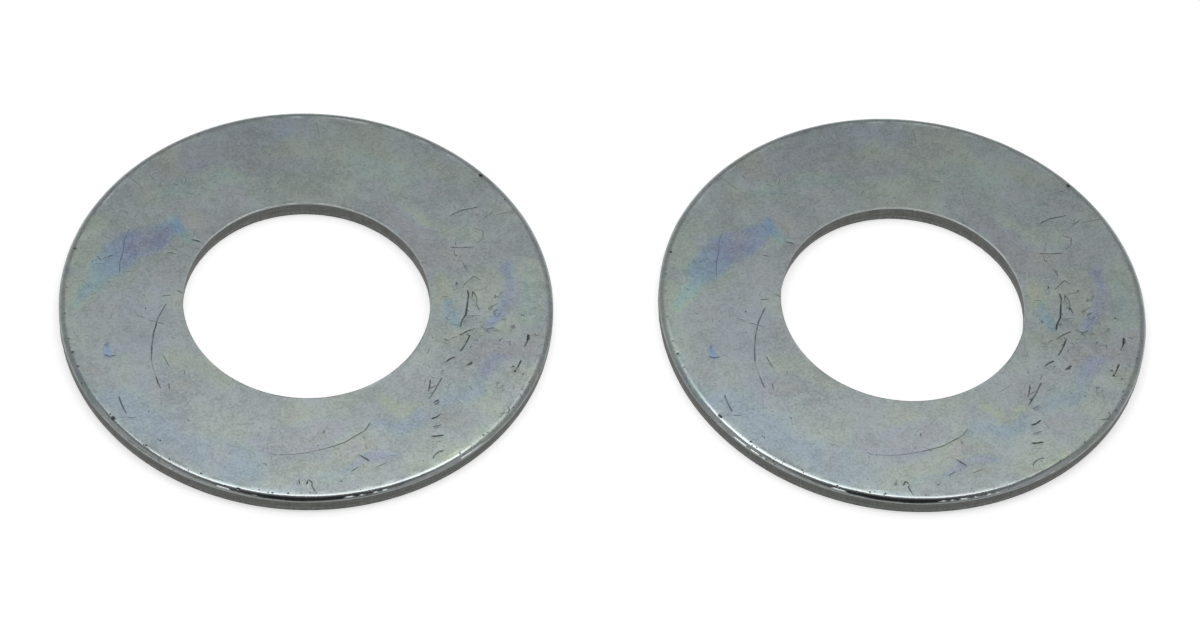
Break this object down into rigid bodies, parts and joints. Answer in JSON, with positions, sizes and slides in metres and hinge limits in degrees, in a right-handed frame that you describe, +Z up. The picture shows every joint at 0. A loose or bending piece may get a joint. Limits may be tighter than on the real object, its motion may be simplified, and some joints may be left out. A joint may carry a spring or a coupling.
{
  "type": "thrust washer pair",
  "caption": "Flat steel thrust washers with a plain round bore and a rolled outer edge, laid side by side, for taking end thrust on a shaft.",
  "frame": {"origin": "midway between the washers, on the surface that both lie on", "axes": "+X from the left washer's centre to the right one's, +Z up along both bores, towards the rolled edges"},
  "size_m": [0.113, 0.051, 0.002],
  "materials": {
    "zinc_plate": "zinc plated and clear passivated, satin, with faint violet and blue tints"
  },
  "bodies": {
    "root": {"left_washer": "zinc_plate", "right_washer": "zinc_plate"}
  },
  "joints": []
}
